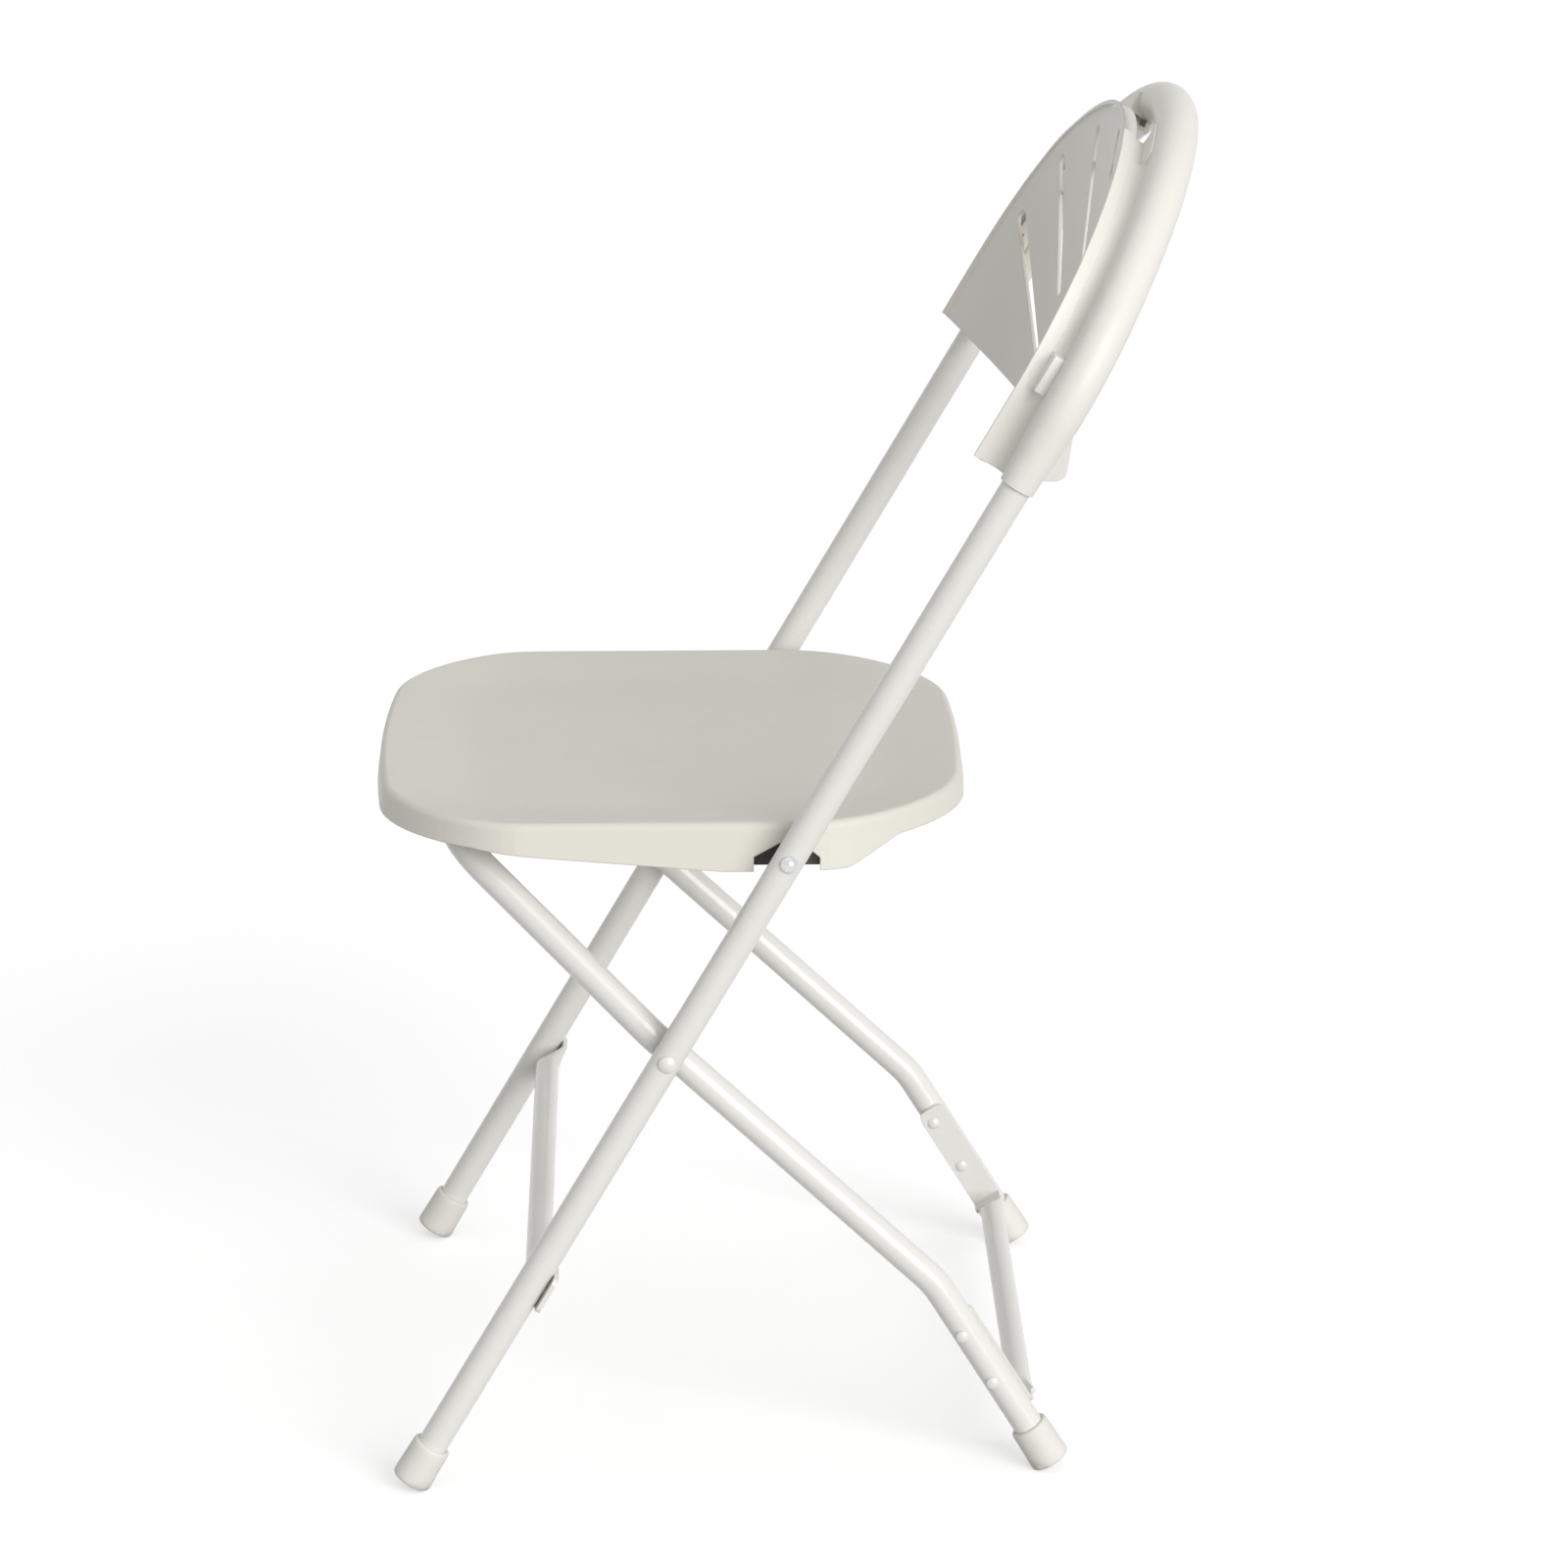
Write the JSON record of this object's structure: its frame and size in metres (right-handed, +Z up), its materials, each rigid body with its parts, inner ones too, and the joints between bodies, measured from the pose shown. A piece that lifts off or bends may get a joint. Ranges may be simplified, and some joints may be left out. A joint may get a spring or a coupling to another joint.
{
  "type": "folding chair",
  "caption": "Folding chair with two leaning posts, a moulded fan back, a dished seat and crossing rear legs that fold flat under the seat.",
  "frame": {"origin": "middle of the footprint box, on the floor, with the chair open", "axes": "+X to the sitter's left, +Y backwards from the front edge of the seat to the back, +Z up"},
  "size_m": [0.4672, 0.5178, 0.8454],
  "materials": {
    "tube_paint": "gloss powder coat",
    "back_plastic": "satin moulded",
    "seat_plastic": "satin moulded",
    "key_plastic": "gloss moulded",
    "foot_rubber": "matte moulded",
    "nylon": "natural nylon",
    "chrome": "polished",
    "black_steel": "satin black",
    "zinc_steel": "zinc plated"
  },
  "bodies": {
    "back_frame": {"post_left": "tube_paint", "post_right": "tube_paint", "backrest": "back_plastic", "back_lock_key_left": "key_plastic", "back_lock_key_right": "key_plastic", "front_brace": "tube_paint", "front_brace_rivets": "tube_paint", "front_foot_caps": "foot_rubber", "leg_pivot_rivets": "tube_paint", "leg_spacers": "nylon", "seat_bolts": "chrome", "seat_bolt_bushes": "nylon", "seat_bolt_nuts": "chrome"},
    "seat": {"seat_pan": "seat_plastic", "seat_bracket_left": "black_steel", "seat_bracket_right": "black_steel", "bar_hook_left": "zinc_steel", "bar_hook_right": "zinc_steel", "seat_screws": "zinc_steel"},
    "rear_legs": {"rear_leg_frame": "tube_paint", "rear_brace": "tube_paint", "rear_brace_rivets": "tube_paint", "rear_foot_caps": "foot_rubber", "bar_glides": "nylon"}
  },
  "joints": [
    {"name": "seat_fold", "type": "hinge", "parent": "back_frame", "child": "seat", "pos_m": [0, -0.00046, 0.41121], "axis": [-1, 0, 0], "range_deg": [0, 119]},
    {"name": "leg_fold", "type": "hinge", "parent": "back_frame", "child": "rear_legs", "pos_m": [0, -0.07543, 0.28291], "axis": [-1, 0, 0], "range_deg": [0, 68.9]}
  ],
  "couplings": [
    {"joint": "leg_fold", "follows": "seat_fold", "ratio": 0.57899}
  ]
}
